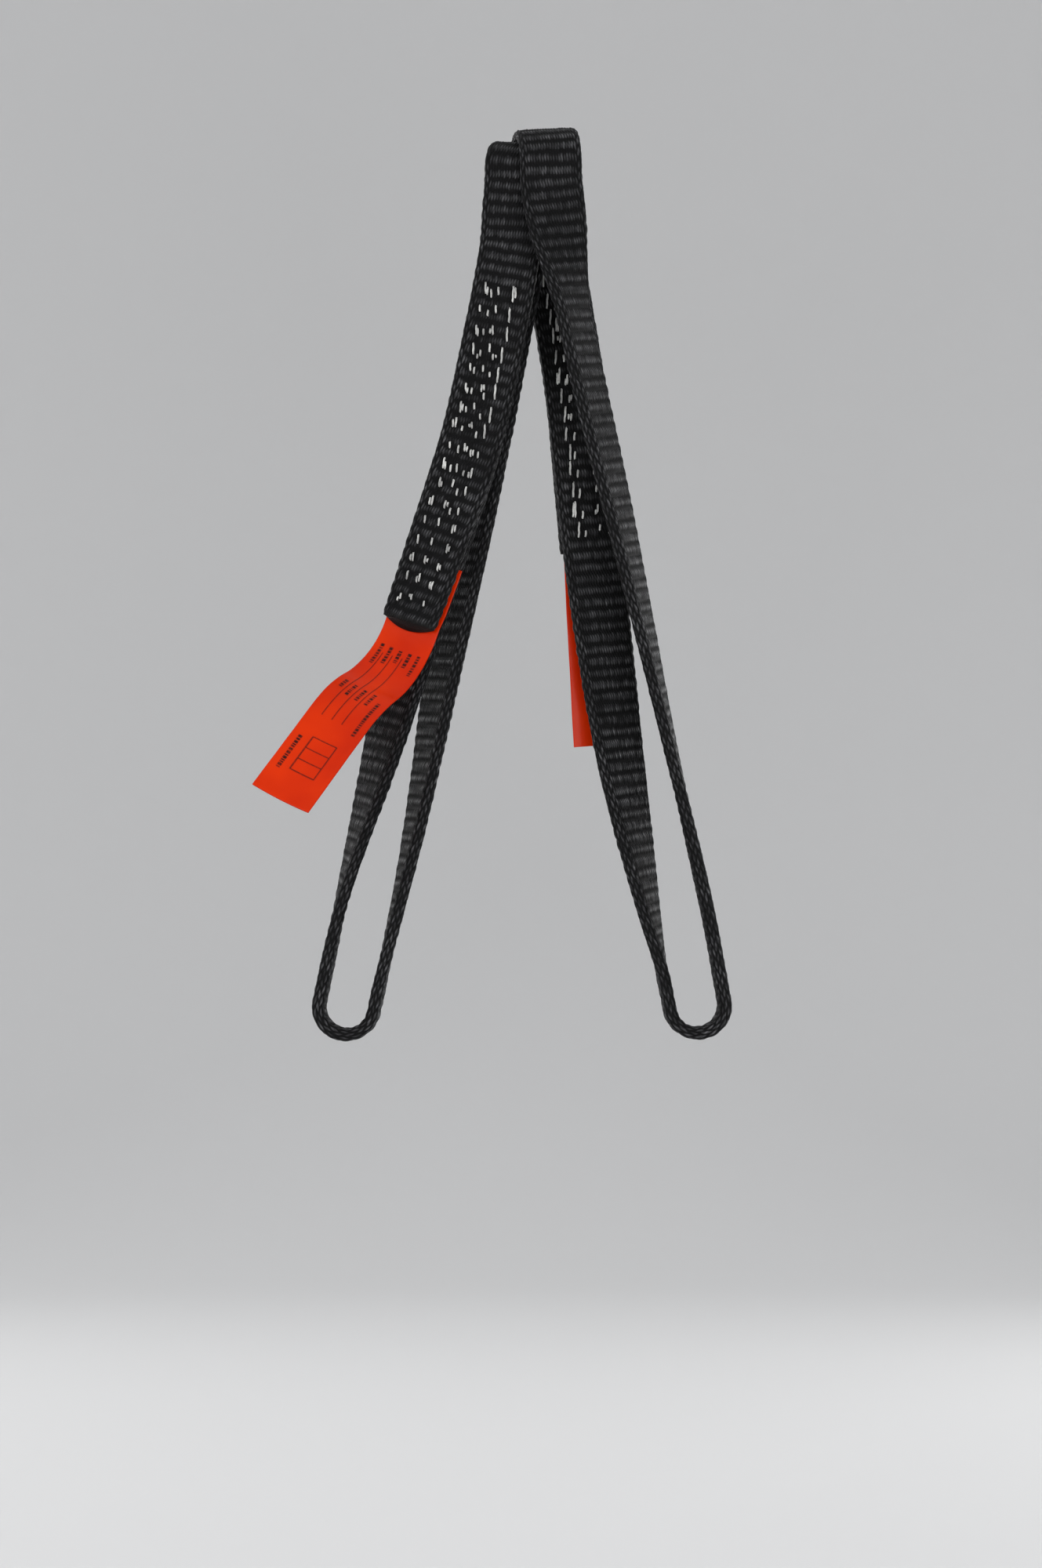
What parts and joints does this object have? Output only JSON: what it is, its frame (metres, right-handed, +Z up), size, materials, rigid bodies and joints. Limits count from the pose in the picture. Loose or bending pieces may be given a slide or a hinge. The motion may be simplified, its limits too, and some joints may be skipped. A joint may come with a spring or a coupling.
{
  "type": "flat web sling",
  "caption": "Pair of endless flat web slings with lapped, sewn splices and sewn-in tags, hung from one hook seat and spread to two lower eyes.",
  "frame": {"origin": "on the axis of the hook's seat, midway between the two slings", "axes": "+Z up, +X to the right along the hook's seat, +Y to the rear"},
  "size_m": [0.1938, 0.0826, 0.374],
  "materials": {
    "webbing": "woven black nylon webbing",
    "thread": "heavy off-white sewing thread",
    "tag": "glossy orange-red vinyl"
  },
  "bodies": {
    "root": {"left_hook_bight": "webbing", "right_hook_bight": "webbing"},
    "left_sling": {"left_front_inner_ply": "webbing", "left_front_middle_leg": "webbing", "left_front_outer_ply": "webbing", "left_rear_middle_leg": "webbing", "left_rear_upper_leg": "webbing", "left_stitch_row_1": "thread", "left_stitch_row_2": "thread", "left_stitch_row_3": "thread", "left_stitch_row_4": "thread", "left_stitch_row_5": "thread", "left_tag_tab": "tag"},
    "left_eye": {"left_eye_bight": "webbing", "left_front_lower_leg": "webbing", "left_rear_lower_leg": "webbing"},
    "left_tag": {"left_tag": "tag"},
    "right_sling": {"right_front_middle_leg": "webbing", "right_front_upper_leg": "webbing", "right_rear_inner_ply": "webbing", "right_rear_middle_leg": "webbing", "right_rear_outer_ply": "webbing", "right_stitch_row_1": "thread", "right_stitch_row_2": "thread", "right_stitch_row_3": "thread", "right_stitch_row_4": "thread", "right_stitch_row_5": "thread", "right_tag_tab": "tag"},
    "right_eye": {"right_eye_bight": "webbing", "right_front_lower_leg": "webbing", "right_rear_lower_leg": "webbing"},
    "right_tag": {"right_tag": "tag"}
  },
  "joints": [
    {"name": "left_sling_swing", "type": "hinge", "parent": "root", "child": "left_sling", "pos_m": [-0.00668, 0, -0.016], "axis": [0, 1, 0], "range_deg": [0, 30]},
    {"name": "left_eye_turn", "type": "hinge", "parent": "left_sling", "child": "left_eye", "pos_m": [-0.0764, 0, -0.34], "axis": [0.2055, 0, 0.9787], "range_deg": [-45, 45]},
    {"name": "left_tag_flex", "type": "hinge", "parent": "left_sling", "child": "left_tag", "pos_m": [-0.05035, -0.00576, -0.18463], "axis": [-0.8361, 0.4591, 0.3003], "range_deg": [0, 70]},
    {"name": "right_sling_swing", "type": "hinge", "parent": "root", "child": "right_sling", "pos_m": [0.0069, 0, -0.016], "axis": [0, -1, 0], "range_deg": [0, 30]},
    {"name": "right_eye_turn", "type": "hinge", "parent": "right_sling", "child": "right_eye", "pos_m": [0.0659, 0, -0.3394], "axis": [-0.1766, 0, 0.9843], "range_deg": [-45, 45]},
    {"name": "right_tag_flex", "type": "hinge", "parent": "right_sling", "child": "right_tag", "pos_m": [0.02326, 0.00915, -0.15338], "axis": [0.9747, 0.2115, 0.0721], "range_deg": [0, 70]}
  ]
}
